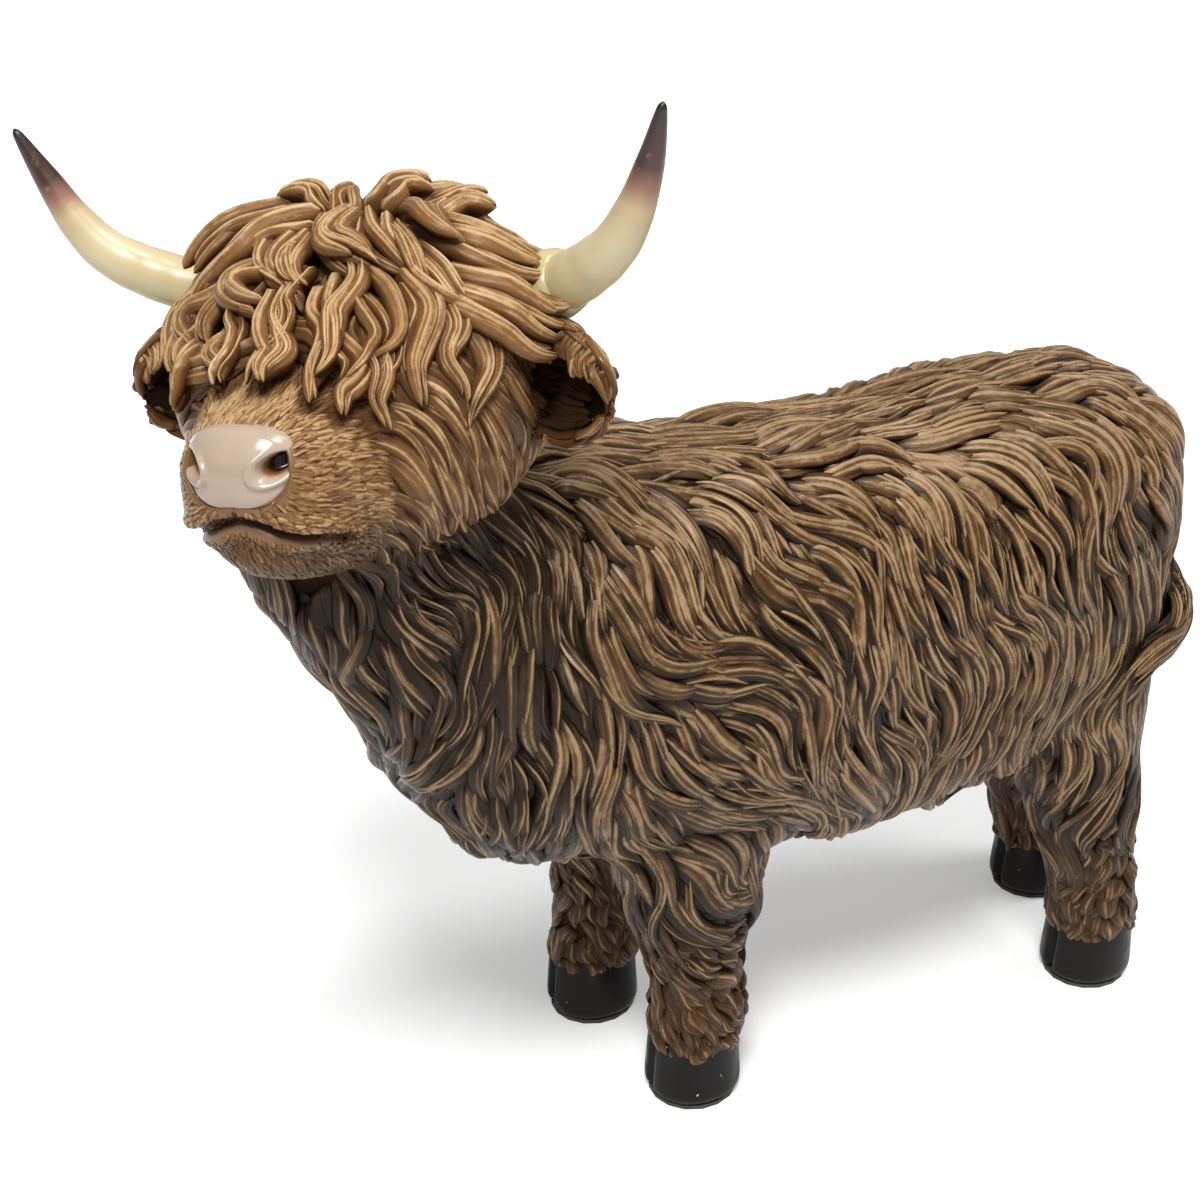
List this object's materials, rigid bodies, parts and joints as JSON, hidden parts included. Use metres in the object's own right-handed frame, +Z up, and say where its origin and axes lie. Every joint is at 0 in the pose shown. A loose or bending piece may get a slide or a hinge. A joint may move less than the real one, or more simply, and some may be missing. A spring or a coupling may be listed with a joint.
{
  "type": "cow figurine",
  "caption": "Standing Highland cow ornament in cast resin, with a shaggy sculpted coat, long curved horns and head turned left.",
  "frame": {"origin": "on the floor under the middle of the whole ornament's box", "axes": "+Z up, the cow's trunk along Y facing -Y, its left side towards +X"},
  "size_m": [0.1506, 0.3883, 0.3736],
  "materials": {
    "fur_resin": "satin",
    "horn_resin": "gloss",
    "steel": "satin",
    "plug_rubber": "matte",
    "pad_rubber": "matte"
  },
  "bodies": {
    "root": {"belly_plug": "plug_rubber", "body_casting": "fur_resin", "front_left_hoof_pad": "pad_rubber", "front_left_leg_rod": "steel", "front_right_hoof_pad": "pad_rubber", "front_right_leg_rod": "steel", "head_casting": "fur_resin", "left_ear": "fur_resin", "left_horn": "horn_resin", "left_horn_pin": "steel", "neck_dowels": "steel", "rear_left_hoof_pad": "pad_rubber", "rear_left_leg_rod": "steel", "rear_right_hoof_pad": "pad_rubber", "rear_right_leg_rod": "steel", "right_ear": "fur_resin", "right_horn": "horn_resin", "right_horn_pin": "steel", "tail_casting": "fur_resin", "tail_pin": "steel"}
  },
  "joints": []
}
